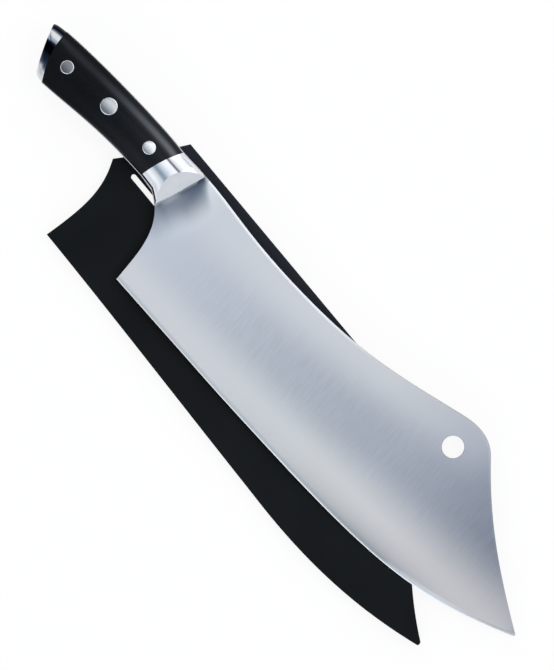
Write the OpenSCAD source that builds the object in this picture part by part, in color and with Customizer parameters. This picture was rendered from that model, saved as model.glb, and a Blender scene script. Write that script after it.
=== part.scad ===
// Long chef's cleaver with a humped, pierced blade, lying on its own sheath, a flat sleeve.
// The frame: X runs along the straight edge from handle to tip, Y runs from edge to spine, Z is up.
// The origin is on the floor under the front of the bolster, on the middle line of the handle.
// The knife is drawn round its own middle plane, then tilted and lifted onto the sheath, where it
// rests on the bolster at the throat and on the edge at the sheath's front.

/* [Blade] */
// Length of the blade along the straight edge, from heel to tip
blade_len = 304; // [260:1:340]
// Depth of the straight edge below the middle line of the handle
edge_drop = 61.4; // [50:0.2:70]
// Height of the top of the hump above the middle line of the handle
hump_rise = 37.6; // [30:0.2:48]
// Depth of the tip below the middle line of the handle
tip_drop = 26; // [16:1:34]
// Distance from the origin forward to the heel
heel_reach = 13; // [10:0.5:20]
// Thickness of the tang and of the spine at the bolster
tang_t = 3.2; // [2.4:0.1:4]
// Thickness of the spine at the tip
tip_t = 1.3; // [0.9:0.1:2]
// Thickness just above the sharpened bevel
shoulder_t = 0.7; // [0.5:0.05:1]
// Width of the sharpened bevel
bevel_w = 1.5; // [0.8:0.1:2.5]
// Diameter of the hole for hanging the cleaver
hang_hole_d = 13; // [8:0.5:16]
// Distance of the hanging hole behind the top of the hump
hang_hole_back = 6.2; // [2:0.1:12]
// Depth of the hanging hole below the top of the hump
hang_hole_drop = 18.5; // [16:0.1:24]

/* [Handle] */
// Length of the handle from the origin back to the butt
handle_len = 119.6; // [112:0.2:130]
// Nominal height of the handle, which its curved outline follows
handle_h = 28.5; // [25:0.5:33]
// Thickness of the handle at its middle
handle_w = 19.8; // [18.6:0.1:20.4]
// Thickness of the handle where the bolster ends
bolster_w = 18; // [16:0.1:19]
// Thickness of the handle where the end cap begins
cap_w = 19; // [17:0.1:20]
// Length of the bolster along the top of the handle, behind the origin
bolster_top = 15.8; // [14:0.2:20]
// Length of the bolster along the bottom of the handle, behind the origin
bolster_bottom = 22.2; // [18:0.2:26]
// Length of the end cap along the top
cap_top = 8.2; // [6:0.2:12]
// Length of the end cap along the bottom
cap_bottom = 7.1; // [5:0.2:10]
// Slope of the bolster's front face down to the blade, in degrees
bolster_slope = 30; // [26:1:40]
// Height of that face above the blade at its foot
toe_h = 1.65; // [0.8:0.05:2.4]

/* [Rivets] */
// Diameter of the middle rivet's heads
middle_head_d = 10.2; // [8:0.1:12]
// Diameter of the front and rear rivets' heads
end_head_d = 8; // [6:0.1:10]
// Thickness of a rivet head at its middle
head_t = 2.8; // [2:0.1:4]
// Outer diameter of the hollow post
post_d = 5; // [4.4:0.1:5.6]
// Diameter of the solid pin inside the post
pin_d = 3; // [2.4:0.1:3.4]

/* [Sheath] */
// How much longer the sheath is than the blade, heel and tip together
sheath_extra_len = 12.1; // [8:0.1:24]
// How much taller the sheath is than the blade
sheath_extra_h = 10; // [4:0.2:16]
// Thickness of each face plate
plate_t = 2; // [1.5:0.1:3]
// Height of the gap between the plates, which the blade slips into
pocket_t = 4.6; // [4.2:0.1:6]
// Width of the spacer strip along the closed sides
welt_w = 1; // [0.8:0.1:3]
// Width of the slot near the throat
slot_w = 3.1; // [2.4:0.1:3.8]
// Length of the slot
slot_len = 40; // [24:1:60]

/* [Hidden] */
// Radial clearance round pins, posts and rivet heads
fit_gap = 0.05;
// Gap between the blade and the sheath that it lies on
rest_gap = 0.3;
// How far the scales, cheeks and cap stand back from the tang's edge
set_back = 0.4;
// Least thickness of a scale, a cheek or the cap at its outline
lip_t = 0.3;
// Thickness of the blade at the very edge
edge_t = 0.2;
// Height of the blunt nose at the tip
nose_h = 1.2;
// Distance over which the flat tang stock fades into the ground blade
fade_len = 24;
// How far the cap's seam and the butt end bow away from the blade
seam_bow = 2.4;
butt_bow = 0.8;
// How far the seam between scales and bolster bows the same way
bolster_bow = 1.3;
// How much the butt end draws in, all round, and over which share of the cap's length
butt_round = 1.6;
butt_round_share = 0.4;
// How much of that the butt's upper corner shows in the outline
butt_top_share = 0.2;
// The hollow in front of the bolster: the length over which it falls to a third, and its whole length
toe_fade = 4.6;
toe_len = 12;
// The hollow's outline dips this much into the blade, so that it runs out cleanly
toe_dip = 0.05;
// The bevel never takes more than this share of a narrow rib
bevel_limit_share = 0.3;
// The tongue at the end of the tang, which the cap is pressed onto
tongue_len = 3;
tongue_h = 12;
tongue_t = 2.4;
// Overrun of cutting tools
cut = 1;

// How strongly the cap's ribs crowd together at the butt, where it curves most
cap_crowding = 1.6;

// How far the tang ends in front of the cap's seam
tang_gap = 0.14;
// Place of the top of the hump, as a share of the way from the origin to the tip
hump_top_share = 0.69;

// Numbers of ribs and of points across a rib or along a curve
tang_steps = 12;
scale_steps = 18;
cheek_steps = 9;
toe_steps = 6;
cap_steps = 7;
section_steps = 14;
curve_steps = 18;
round_fn = 64;

tip_x = heel_reach + blade_len;
sheath_t = plate_t + pocket_t + plate_t;
sheath_len = blade_len + sheath_extra_len;
sheath_h = edge_drop + hump_rise + sheath_extra_h;
hang_hole_x = hump_top_share * tip_x - hang_hole_back;
hang_hole_y = hump_rise - hang_hole_drop;

// Places of the bolster's foot line, as shares of the handle's length and height
foot_top_share = [0.0235, 0.536];
foot_bottom_share = [-0.036, -0.555];

// Places of the rivets along the handle, as shares of its length, rear, middle, front
rivet_shares = [-0.803, -0.532, -0.257];
// How far each rivet sits above the middle of the handle there, as a share of the handle's height
rivet_rise_shares = [0.02, 0.01, 0.01];

// The outline curves, as Bezier points. In x they are shares of tip_x or handle_len.
// In y the spine goes from the bolster's top at 0 to the hump at 1, the clip from the tip at 0 to the
// hump at 1, and the edge from the straight part at 0 to the tip at 1. The hump ends where the clip begins.
spine_start_shares = [[0, 0], [0.0874, 0.0101], [0.1413, -0.2281], [0.2956, -0.1118]];
spine_rise_shares = [[0.2956, -0.1118], [0.4472, -0.0037], [0.5227, 0.3965], [0.6405, 0.911]];
hump_shares = [[0.6405, 0.911], [0.672, 1.0502], [0.7044, 1.0591], [0.7296, 0.903]];
clip_shares = [[0.7296, 0.903], [0.8109, 0.524], [0.884, 0.296], [1, 0]];
belly_shares = [[0.315, 0], [0.7354, 0.0493], [0.8135, 0.1423], [1, 1]];
// The choil goes from the bolster's lower corner at 0 to the heel at 1
choil_shares = [[0, 0], [0.849, 0.192], [0.87, 0.597], [1, 1]];
// The handle's outline is in shares of its length behind the origin and of its height
handle_top_shares = [[-1, 0.312], [-0.984, 0.46], [-0.292, 0.615], [-0.15, 0.54]];
bolster_top_shares = [[-0.15, 0.54], [-0.1, 0.534], [-0.05, 0.551], [0, 0.551]];
butt_corner_shares = [[-0.89, -0.58], [-0.885, -0.645], [-0.861, -0.682], [-0.832, -0.673]];
handle_bottom_shares = [[-0.832, -0.673], [-0.669, -0.605], [-0.502, -0.418], [-0.185, -0.417]];
choil_start_share = [-0.105, -0.44];

// The sheath's outline, in shares of its length from the heel corner and of its height
sheath_heel_shares = [[-0.0234, 0.629], [0.0073, 0.484], [0.0089, 0.364], [0, 0.105]];
sheath_edge_shares = [[0, 0.105], [0.183, 0.084], [0.404, 0.041], [0.596, 0.012]];
sheath_belly_shares = [[0.596, 0.012], [0.7557, -0.0207], [0.8786, 0.0213], [1.0019, 0.133]];
sheath_front_shares = [[1.0021, 0.1565], [0.933, 0.266], [0.831, 0.475], [0.774, 0.781]];
sheath_hump_shares = [[0.774, 0.781], [0.756, 0.865], [0.737, 0.924], [0.695, 0.930]];
sheath_throat_shares = [[0.0503, 0.985], [0.0411, 0.936], [-0.013, 0.674]];
// The rounded tip between the two
sheath_tip_share = [1.0036, 0.1415];
// Place of the heel corner behind the origin, and of the lowest point below the middle line
sheath_back_share = 0.1038;
sheath_low_share = 0.7886;
// Where the blade's edge crosses the sheath's front, in shares of the sheath's length
front_rest_share = 0.918;
// Place of the slot's rear end, in shares of the sheath's length and height, and its turn in degrees
slot_share = [0.021, 0.648];
slot_turn = -1.7;

function mix(a, b, t) = a + (b - a) * t;
function fade(t) = let (c = min(1, max(0, t))) c * c * (3 - 2 * c);
function bezier(p, t) =
    let (s = 1 - t)
    p[0] * pow(s, 3) + 3 * p[1] * s * s * t + 3 * p[2] * s * t * t + p[3] * pow(t, 3);
function curve(p) = [for (k = [0 : curve_steps]) bezier(p, k / curve_steps)];
function heights(path, x) = lookup(x, path);

// The knife's rest on the sheath: the bolster's full thickness behind, the thin edge in front
rear_rest_x = (foot_top_share[0] + foot_bottom_share[0]) / 2 * handle_len
    - (bolster_w / 2 - tang_t / 2 - toe_h) / tan(bolster_slope);
front_rest_x = (front_rest_share - sheath_back_share) * sheath_len;
knife_tilt = asin((bolster_w - edge_t) / 2 / (front_rest_x - rear_rest_x));
knife_z = sheath_t + rest_gap + (bolster_w / 2 + rear_rest_x * sin(knife_tilt)) / cos(knife_tilt);

// Turns a list of shares into places
function on_handle(shares) = [for (s = shares) [s[0] * handle_len, s[1] * handle_h]];
function on_rise(shares, from, to) = [for (s = shares) [s[0] * tip_x, mix(from, to, s[1])]];

bolster_top_y = bolster_top_shares[3][1] * handle_h;
spine_line = concat(
    curve(on_rise(spine_start_shares, bolster_top_y, hump_rise)),
    curve(on_rise(spine_rise_shares, bolster_top_y, hump_rise)),
    curve([for (k = [0 : 3])
        [hump_shares[k][0] * tip_x, k < 3
            ? mix(bolster_top_y, hump_rise, hump_shares[k][1])
            : mix(-tip_drop + nose_h / 2, hump_rise, clip_shares[0][1])]]),
    curve(on_rise(clip_shares, -tip_drop + nose_h / 2, hump_rise)));
edge_line = concat(
    [[-handle_len, -edge_drop]],
    curve(on_rise(belly_shares, -edge_drop, -tip_drop - nose_h / 2)));
handle_top_line = concat(curve(on_handle(handle_top_shares)), curve(on_handle(bolster_top_shares)));
choil_start = [choil_start_share[0] * handle_len, choil_start_share[1] * handle_h];
handle_bottom_line = concat(
    curve(on_handle(butt_corner_shares)),
    curve(on_handle(handle_bottom_shares)),
    [choil_start]);
choil_line = curve([for (s = choil_shares)
    [mix(choil_start[0], heel_reach, s[0]), mix(choil_start[1], -edge_drop, s[1])]]);

// Half the blade's thickness at a place: a flat grind from spine to edge in stock that thins ever
// faster towards the tip, a steep bevel along the edge, and full stock round the bolster
function stock_half(x) = mix(tang_t, tip_t, pow(max(0, x) / tip_x, 2)) / 2;
function ground_half(x, y) =
    let (
        low = heights(edge_line, x),
        high = heights(spine_line, max(0, x)),
        up = y - low,
        face = mix(shoulder_t / 2, stock_half(x), min(1, max(0, up / (high - low)))))
    up < bevel_w ? mix(edge_t / 2, face, max(0, up / bevel_w)) : face;
function blade_half(x, y) =
    let (away = max(0, x) + max(0, choil_start[1] - y) / 2)
    mix(tang_t / 2, ground_half(x, y), fade(away / fade_len));

// A solid between two heights over a net of places. The net's rows run along X and its columns along Y.
module slab(net, high, low) {
    n = len(net);
    m = len(net[0]);
    function top(i, j) = i * m + j;
    function under(i, j) = n * m + i * m + j;
    points = concat(
        [for (i = [0 : n - 1], j = [0 : m - 1]) [net[i][j][0], net[i][j][1], high[i][j]]],
        [for (i = [0 : n - 1], j = [0 : m - 1]) [net[i][j][0], net[i][j][1], low[i][j]]]);
    faces = concat(
        [for (i = [0 : n - 2], j = [0 : m - 2]) [top(i, j), top(i, j + 1), top(i + 1, j + 1)]],
        [for (i = [0 : n - 2], j = [0 : m - 2]) [top(i, j), top(i + 1, j + 1), top(i + 1, j)]],
        [for (i = [0 : n - 2], j = [0 : m - 2]) [under(i, j), under(i + 1, j + 1), under(i, j + 1)]],
        [for (i = [0 : n - 2], j = [0 : m - 2]) [under(i, j), under(i + 1, j), under(i + 1, j + 1)]],
        [for (i = [0 : n - 2]) [top(i, 0), top(i + 1, 0), under(i + 1, 0), under(i, 0)]],
        [for (i = [0 : n - 2]) [top(i + 1, m - 1), top(i, m - 1), under(i, m - 1), under(i + 1, m - 1)]],
        [for (j = [0 : m - 2]) [top(0, j + 1), top(0, j), under(0, j), under(0, j + 1)]],
        [for (j = [0 : m - 2]) [top(n - 1, j), top(n - 1, j + 1), under(n - 1, j + 1), under(n - 1, j)]]);
    polyhedron(points, faces);
}

// Places across a rib from its lower to its upper end, bowed towards the butt by bow
function rib(low, high, shares, bow) =
    [for (w = shares) mix(low, high, w) - [4 * bow * w * (1 - w), 0]];
even_shares = [for (k = [0 : section_steps]) (1 - cos(180 * k / section_steps)) / 2];

// A rib of the handle, where s goes from the cap's seam at 0 to the bolster's seam at 1
function handle_low(s, inset) =
    let (x = mix(-handle_len + cap_bottom + (1 + butt_corner_shares[0][0]) * handle_len, -bolster_bottom, s))
    [x, heights(handle_bottom_line, x) + inset];
function handle_high(s, inset) =
    let (x = mix(-handle_len + cap_top, -bolster_top, s))
    [x, heights(handle_top_line, x) - inset];
function handle_half(s) =
    mix(cap_w, bolster_w, s) / 2 + 2 * s * (1 - s) * (handle_w - (cap_w + bolster_w) / 2);

// Heights over a rib of the handle, a half ellipse on the tang
function arch(half) = [for (k = [0 : section_steps])
    let (rise = sin(180 * k / section_steps))
    max(tang_t / 2 + lip_t, mix(tang_t / 2, half, rise))];
function flat(level) = [for (k = [0 : section_steps]) level];

scale_net = [for (k = [0 : scale_steps])
    let (s = k / scale_steps)
    rib(handle_low(s, set_back), handle_high(s, set_back), even_shares, mix(seam_bow, bolster_bow, s))];
scale_arches = [for (k = [0 : scale_steps]) arch(handle_half(k / scale_steps))];

// The scale before its holes, or only its ribs from first to last
module scale_blank(first, last) {
    picked = [for (k = [first : last]) k];
    slab([for (k = picked) scale_net[k]], [for (k = picked) scale_arches[k]],
        [for (k = picked) flat(tang_t / 2)]);
}

// The three rivets
rivet_heads = [end_head_d, middle_head_d, end_head_d];
function rivet_x(k) = rivet_shares[k] * handle_len;
function rivet_place(k) =
    let (x = rivet_x(k))
    [x, (heights(handle_top_line, x) + heights(handle_bottom_line, x)) / 2
        + rivet_rise_shares[k] * handle_h];
function rivet_share(x) = (x + handle_len - cap_top) / (handle_len - cap_top - bolster_top);
function rivet_rib(x) = scale_steps * rivet_share(x);
function rivet_seat(k) = handle_half(rivet_share(rivet_x(k))) - head_t;

module rivet_bore(k) {
    translate([rivet_place(k)[0], rivet_place(k)[1], -handle_w])
        cylinder(d = post_d + 2 * fit_gap, h = 2 * handle_w, $fn = round_fn);
}

module counterbore(k) {
    translate([rivet_place(k)[0], rivet_place(k)[1], rivet_seat(k)])
        cylinder(d = rivet_heads[k] + 2 * fit_gap, h = handle_w, $fn = round_fn);
}

// A rivet head, ground flush with the scale round it
module rivet_head(k) {
    rear = rivet_rib(rivet_x(k) - rivet_heads[k]);
    front = rivet_rib(rivet_x(k) + rivet_heads[k]);
    intersection() {
        scale_blank(max(0, floor(rear)), min(scale_steps, ceil(front)));
        translate([rivet_place(k)[0], rivet_place(k)[1], rivet_seat(k)])
            cylinder(d = rivet_heads[k], h = handle_w, $fn = round_fn);
    }
}

// The half with the solid pin, on the right side of the handle
module rivet_stud(k) {
    color([0.80, 0.81, 0.83])
    raised() {
        rivet_head(k);
        translate([rivet_place(k)[0], rivet_place(k)[1], -rivet_seat(k) + head_t])
            cylinder(d = pin_d, h = 2 * rivet_seat(k) - head_t + cut / 2, $fn = round_fn);
    }
}

// The half with the hollow post, on the left side
module rivet_socket(k) {
    color([0.78, 0.79, 0.81])
    raised() mirror([0, 0, 1]) {
        rivet_head(k);
        difference() {
            translate([rivet_place(k)[0], rivet_place(k)[1], -rivet_seat(k) + fit_gap])
                cylinder(d = post_d, h = 2 * rivet_seat(k) + cut / 2, $fn = round_fn);
            translate([rivet_place(k)[0], rivet_place(k)[1], -rivet_seat(k) - cut])
                cylinder(d = pin_d + 2 * fit_gap, h = 2 * rivet_seat(k), $fn = round_fn);
        }
    }
}

module raised() {
    translate([0, 0, knife_z]) rotate([0, knife_tilt, 0]) children();
}

// Blade and tang, one forging
blade_row_shares = [0.2, 0.4, 0.6, 0.8, 1];
function blade_rib(low, high, bow) =
    let (
        tall = high[1] - low[1],
        first = min(bevel_w, bevel_limit_share * tall) / tall,
        shares = concat([0, first], [for (w = blade_row_shares) mix(first, 1, w)]))
    rib(low, high, shares, bow);
blade_net = concat(
    [for (k = [0 : tang_steps])
        let (s = k / tang_steps, forward = [tang_gap * (1 - s), 0])
        blade_rib(handle_low(s, 0) + forward, handle_high(s, 0) + forward, mix(seam_bow, bolster_bow, s))],
    [for (k = [1 : curve_steps])
        let (
            low = choil_line[k],
            x = mix(choil_start[0], heel_reach, k / curve_steps))
        blade_rib(low, [x, x < 0 ? heights(handle_top_line, x) : heights(spine_line, x)], 0)],
    [for (k = [1 : len(spine_line) - 1])
        if (spine_line[k][0] > max(heel_reach, spine_line[k - 1][0]) + fit_gap)
            blade_rib([spine_line[k][0], heights(edge_line, spine_line[k][0])], spine_line[k], 0)]);
blade_halves = [for (r = blade_net) [for (p = r) blade_half(p[0], p[1])]];

module tongue(grow) {
    low = handle_low(0, 0);
    high = handle_high(0, 0);
    turn = atan2(high[0] - low[0], low[1] - high[1]);
    middle = rib(low, high, [0.5], seam_bow)[0];
    translate([middle[0], middle[1], 0])
        rotate([0, 0, turn + 180])
            translate([-tongue_len - grow, -tongue_h / 2 - grow, -tongue_t / 2 - grow])
                cube([2 * tongue_len + 2 * grow, tongue_h + 2 * grow, tongue_t + 2 * grow]);
}

// The bolster's foot line and the net of a cheek, from the scale's seam to that line
foot_top = [foot_top_share[0] * handle_len, foot_top_share[1] * handle_h];
foot_bottom = [foot_bottom_share[0] * handle_len, foot_bottom_share[1] * handle_h];
function lower_line(x) = x < choil_start[0] ? heights(handle_bottom_line, x) : heights(choil_line, x);
cheek_net = [for (k = [0 : cheek_steps])
    let (
        s = k / cheek_steps,
        x_low = mix(-bolster_bottom, foot_bottom[0], s),
        x_high = mix(-bolster_top, foot_top[0], s),
        top_y = x_high < 0 ? heights(handle_top_line, x_high) : heights(spine_line, x_high))
    rib([x_low, lower_line(x_low) + set_back], [x_high, top_y - set_back], even_shares,
        bolster_bow * (1 - s))];

// The hollow that leads from the foot of the bolster's sloping face down to the blade, on both faces
foot = foot_top - foot_bottom;
foot_forward = [foot[1], -foot[0]] / norm(foot);
toe_net = [for (k = [0 : toe_steps])
    let (forward = foot_forward * toe_len * k / toe_steps)
    rib(cheek_net[cheek_steps][0] + forward, cheek_net[cheek_steps][section_steps] + forward,
        even_shares, 0)];
function toe_rise(ahead, k) =
    min(toe_h * (exp(-ahead / toe_fade) - exp(-toe_len / toe_fade)),
        (bolster_w - tang_t) / 2 * sin(180 * k / section_steps)) - toe_dip;
toe_halves = [for (j = [0 : toe_steps])
    [for (k = [0 : section_steps])
        blade_half(toe_net[j][k][0], toe_net[j][k][1]) + toe_rise(toe_len * j / toe_steps, k)]];

module blade() {
    color([0.74, 0.76, 0.79])
    raised() difference() {
        union() {
            slab(blade_net, blade_halves, -blade_halves);
            slab(toe_net, toe_halves, -toe_halves);
            tongue(0);
        }
        translate([hang_hole_x, hang_hole_y, -tang_t])
            cylinder(d = hang_hole_d, h = 2 * tang_t, $fn = round_fn);
        for (k = [0 : 2]) rivet_bore(k);
    }
}

// A bolster cheek: the handle's arch carried forward and cut by a sloping face
module cheek() {
    foot_turn = atan2(foot[1], foot[0]) - 90;
    intersection() {
        slab(cheek_net, [for (r = cheek_net) arch(bolster_w / 2)], [for (r = cheek_net) flat(tang_t / 2)]);
        translate([foot_bottom[0], foot_bottom[1], tang_t / 2 + toe_h])
            rotate([0, 0, foot_turn])
                rotate([0, bolster_slope, 0])
                    translate([-2 * handle_len, -handle_len, -2 * handle_len])
                        cube([3 * handle_len, 2 * handle_len, 2 * handle_len]);
    }
}

module bolster_right() {
    color([0.83, 0.84, 0.87]) raised() cheek();
}

module bolster_left() {
    color([0.83, 0.84, 0.87]) raised() mirror([0, 0, 1]) cheek();
}

module scale_right() {
    color([0.09, 0.09, 0.10])
    raised() difference() {
        scale_blank(0, scale_steps);
        for (k = [0 : 2]) {
            rivet_bore(k);
            counterbore(k);
        }
    }
}

module scale_left() {
    color([0.09, 0.09, 0.10])
    raised() mirror([0, 0, 1]) difference() {
        scale_blank(0, scale_steps);
        for (k = [0 : 2]) {
            rivet_bore(k);
            counterbore(k);
        }
    }
}

// The end cap, from the butt at 0 to the scales' seam at 1, drawn in round the butt
function cap_round(s) = butt_round * (1 - sqrt(1 - pow(1 - min(1, s / butt_round_share), 2)));
function cap_low(s, inset) =
    let (x = mix(butt_corner_shares[0][0] * handle_len, handle_low(0, 0)[0], s))
    [x, heights(handle_bottom_line, x) + inset];
function cap_high(s, inset) =
    let (x = mix(-handle_len, -handle_len + cap_top, s))
    [x, heights(handle_top_line, x) - inset];
cap_shares = [for (k = [0 : cap_steps]) pow(k / cap_steps, cap_crowding)];
cap_net = [for (s = cap_shares)
    rib(cap_low(s, set_back), cap_high(s, set_back + butt_top_share * cap_round(s)), even_shares,
        mix(butt_bow, seam_bow, s))];
cap_arches = [for (s = cap_shares) arch(cap_w / 2 - cap_round(s))];

module end_cap() {
    color([0.85, 0.86, 0.88])
    raised() difference() {
        slab(cap_net, cap_arches, -cap_arches);
        tongue(fit_gap);
    }
}

// The sheath is a flat sleeve: two face plates with a spacer strip between them along the edge, the
// front and the back. It is open at the rear, where the hump only just passes between the strip's ends.
function on_sheath(shares) = [for (s = shares)
    [(s[0] - sheath_back_share) * sheath_len, (s[1] - sheath_low_share) * sheath_h]];
sheath_throat = on_sheath(sheath_throat_shares);
sheath_closed = concat(
    curve(on_sheath(sheath_edge_shares)),
    curve(on_sheath(sheath_belly_shares)),
    on_sheath([sheath_tip_share]),
    curve(on_sheath(sheath_front_shares)),
    curve(on_sheath(sheath_hump_shares)),
    [sheath_throat[0]]);

module sheath_outline() {
    polygon(concat(
        sheath_closed,
        [sheath_throat[1], sheath_throat[2]],
        curve(on_sheath(sheath_heel_shares))));
}

// The pocket runs on past the open rear, so that the strip's ends are flush with it
function beyond(from, to, run) = to + (to - from) * run / norm(to - from);
module pocket_outline() {
    last = len(sheath_closed) - 1;
    offset(delta = -welt_w)
        polygon(concat(sheath_closed, [
            beyond(sheath_closed[last - 1], sheath_closed[last], sheath_h),
            beyond(sheath_closed[1], sheath_closed[0], sheath_h)]));
}

module sheath_slot() {
    rear = on_sheath([slot_share])[0];
    translate([rear[0], rear[1], -cut]) rotate([0, 0, slot_turn]) {
        translate([slot_w / 2, 0, 0])
            cylinder(d = slot_w, h = sheath_t + 2 * cut, $fn = round_fn);
        translate([slot_w / 2, -slot_w / 2, 0])
            cube([slot_len - slot_w, slot_w, sheath_t + 2 * cut]);
        translate([slot_len - slot_w / 2, 0, 0])
            cylinder(d = slot_w, h = sheath_t + 2 * cut, $fn = round_fn);
    }
}

module sheath_plate(level) {
    difference() {
        translate([0, 0, level])
            linear_extrude(plate_t)
                sheath_outline();
        sheath_slot();
    }
}

module sheath_back_plate() {
    color([0.12, 0.13, 0.14]) sheath_plate(0);
}

module sheath_welt() {
    color([0.08, 0.09, 0.10])
    translate([0, 0, plate_t])
        linear_extrude(pocket_t)
            difference() {
                sheath_outline();
                pocket_outline();
            }
}

module sheath_front_plate() {
    color([0.13, 0.14, 0.15]) sheath_plate(plate_t + pocket_t);
}

blade();
bolster_right();
bolster_left();
scale_right();
scale_left();
end_cap();
rivet_stud(0);  // rear_rivet_stud
rivet_socket(0);  // rear_rivet_socket
rivet_stud(1);  // middle_rivet_stud
rivet_socket(1);  // middle_rivet_socket
rivet_stud(2);  // front_rivet_stud
rivet_socket(2);  // front_rivet_socket
sheath_back_plate();
sheath_welt();
sheath_front_plate();
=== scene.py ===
"""The looks of a long chef's cleaver that lies on its own black sheath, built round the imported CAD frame.

Sizes are in millimetres, as in the part's source, and each piece is turned into metres when it is made.
The sections follow the knife as it is put together, then the sheath, then the studio it is seen in.
"""
import math

import bmesh
import bpy
import numpy as np
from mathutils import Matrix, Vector


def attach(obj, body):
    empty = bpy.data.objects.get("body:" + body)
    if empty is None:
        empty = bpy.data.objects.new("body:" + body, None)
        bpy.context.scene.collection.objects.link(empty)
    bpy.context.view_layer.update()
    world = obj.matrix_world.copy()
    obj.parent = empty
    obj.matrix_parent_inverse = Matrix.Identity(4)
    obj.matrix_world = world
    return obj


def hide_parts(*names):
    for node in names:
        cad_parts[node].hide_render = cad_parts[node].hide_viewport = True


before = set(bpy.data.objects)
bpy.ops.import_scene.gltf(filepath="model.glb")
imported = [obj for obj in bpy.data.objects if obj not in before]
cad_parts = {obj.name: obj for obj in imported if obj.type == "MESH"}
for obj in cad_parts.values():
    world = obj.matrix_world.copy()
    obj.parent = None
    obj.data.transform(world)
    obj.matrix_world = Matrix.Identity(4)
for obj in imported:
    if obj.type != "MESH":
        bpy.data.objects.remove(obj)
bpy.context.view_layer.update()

# Blade and tang are one forging of stainless steel. The blade is ground flat from the spine to a thin
# edge on both faces, given a steep sharpened bevel, and brushed across with a fine belt.
# The tang runs the whole length of the handle, and three rivets go through it.
handle_len, handle_h = 119.6, 28.5
blade_len, heel_reach, edge_drop, hump_rise, tip_drop = 304.0, 13.0, 61.4, 37.6, 26.0
tang_t, tip_t, shoulder_t, edge_t, nose_h = 3.2, 1.3, 0.7, 0.2, 1.2
bevel_w, fade_len, spine_ease = 1.5, 24.0, 0.3
hang_hole_x, hang_hole_y, hang_hole_d = 212.53, 19.1, 13.0
bolster_w, bolster_top, bolster_bottom, cap_top, cap_bottom = 18.0, 15.8, 22.2, 8.2, 7.1
seam_bow, bolster_bow = 2.4, 1.3
post_d, fit_gap = 5.0, 0.05
rear_rest_x, front_rest_x, knife_lift_z = -10.7068, 257.3686, 17.5493
tip_x = heel_reach + blade_len
knife_tilt = math.asin((bolster_w - edge_t) / 2 / (front_rest_x - rear_rest_x))


def mix(a, b, t):
    """The value a share t of the way from a to b."""
    return a + (b - a) * t


def soft_step(value, low, high):
    """A soft step from 0 at low to 1 at high."""
    c = np.clip((value - low) / (high - low), 0, 1)
    return c * c * (3 - 2 * c)


def bezier(p, t):
    """Points of the cubic curve with the four control points p, at the parameters t."""
    p, t = np.asarray(p, float), np.asarray(t, float)[:, None]
    return p[0] * (1 - t) ** 3 + 3 * p[1] * (1 - t) ** 2 * t + 3 * p[2] * (1 - t) * t ** 2 + p[3] * t ** 3


def curves(*parts, steps=48):
    """Several cubic curves joined end to end, each in the given number of steps."""
    t = np.linspace(0, 1, steps + 1)
    return np.vstack([bezier(p, t)[(0 if k == 0 else 1):] for k, p in enumerate(parts)])


def along(path, shares):
    """Places at the given shares of a path's length."""
    run = np.concatenate([[0], np.cumsum(np.linalg.norm(np.diff(path, axis=0), axis=1))])
    return np.stack([np.interp(np.asarray(shares) * run[-1], run, path[:, q]) for q in (0, 1)], -1)


def height_on(path, x):
    """The height of an outline above x, straight between its points."""
    return np.interp(x, path[:, 0], path[:, 1])


def on_handle(shares):
    """Shares of the handle's length and height as places."""
    return np.array(shares) * [handle_len, handle_h]


def on_rise(shares, low, high):
    """Shares of the blade's reach in x, and in y of the rise from low to high, as places."""
    s = np.array(shares, float)
    return np.stack([s[:, 0] * tip_x, mix(low, high, s[:, 1])], -1)


handle_top_line = curves(
    on_handle([[-1, .312], [-.984, .46], [-.292, .615], [-.15, .54]]),
    on_handle([[-.15, .54], [-.1, .534], [-.05, .551], [0, .551]]))
choil_start = on_handle([[-.105, -.44]])[0]
belly_from = -.89
handle_bottom_line = np.vstack([
    curves(on_handle([[belly_from, -.58], [-.885, -.645], [-.861, -.682], [-.832, -.673]]),
           on_handle([[-.832, -.673], [-.669, -.605], [-.502, -.418], [-.185, -.417]])),
    [choil_start]])
spine_root = .551 * handle_h
hump_curve = on_rise([[.6405, .911], [.672, 1.0502], [.7044, 1.0591], [.7296, .903]], spine_root, hump_rise)
hump_curve[3, 1] = mix(-tip_drop + nose_h / 2, hump_rise, .903)
spine_line = curves(
    on_rise([[0, 0], [.0874, .0101], [.1413, -.2281], [.2956, -.1118]], spine_root, hump_rise),
    on_rise([[.2956, -.1118], [.4472, -.0037], [.5227, .3965], [.6405, .911]], spine_root, hump_rise),
    hump_curve,
    on_rise([[.7296, .903], [.8109, .524], [.884, .296], [1, 0]], -tip_drop + nose_h / 2, hump_rise))
edge_line = np.vstack([
    [[-handle_len, -edge_drop]],
    curves(on_rise([[.315, 0], [.7354, .0493], [.8135, .1423], [1, 1]], -edge_drop, -tip_drop - nose_h / 2),
           steps=160)])
choil_shares = np.array([[0, 0], [.849, .192], [.87, .597], [1, 1]])
choil_curve = choil_start + choil_shares * (np.array([heel_reach, -edge_drop]) - choil_start)


def blade_half(x, y):
    """Half the blade's thickness at a place. It is flat from spine to edge in stock that thins ever
    faster towards the tip, steep over the bevel, and fades into full stock round the bolster."""
    low, high = height_on(edge_line, x), height_on(spine_line, np.maximum(x, 0))
    stock = mix(tang_t, tip_t, (np.maximum(x, 0) / tip_x) ** 2) / 2
    up = y - low
    face = mix(shoulder_t / 2, stock, np.clip(up / (high - low), 0, 1))
    ground = np.where(up < bevel_w, mix(edge_t / 2, face, np.clip(up / bevel_w, 0, 1)), face)
    away = np.maximum(x, 0) + np.maximum(choil_start[1] - y, 0) / 2
    return mix(tang_t / 2, ground, soft_step(away, 0, fade_len))


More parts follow.
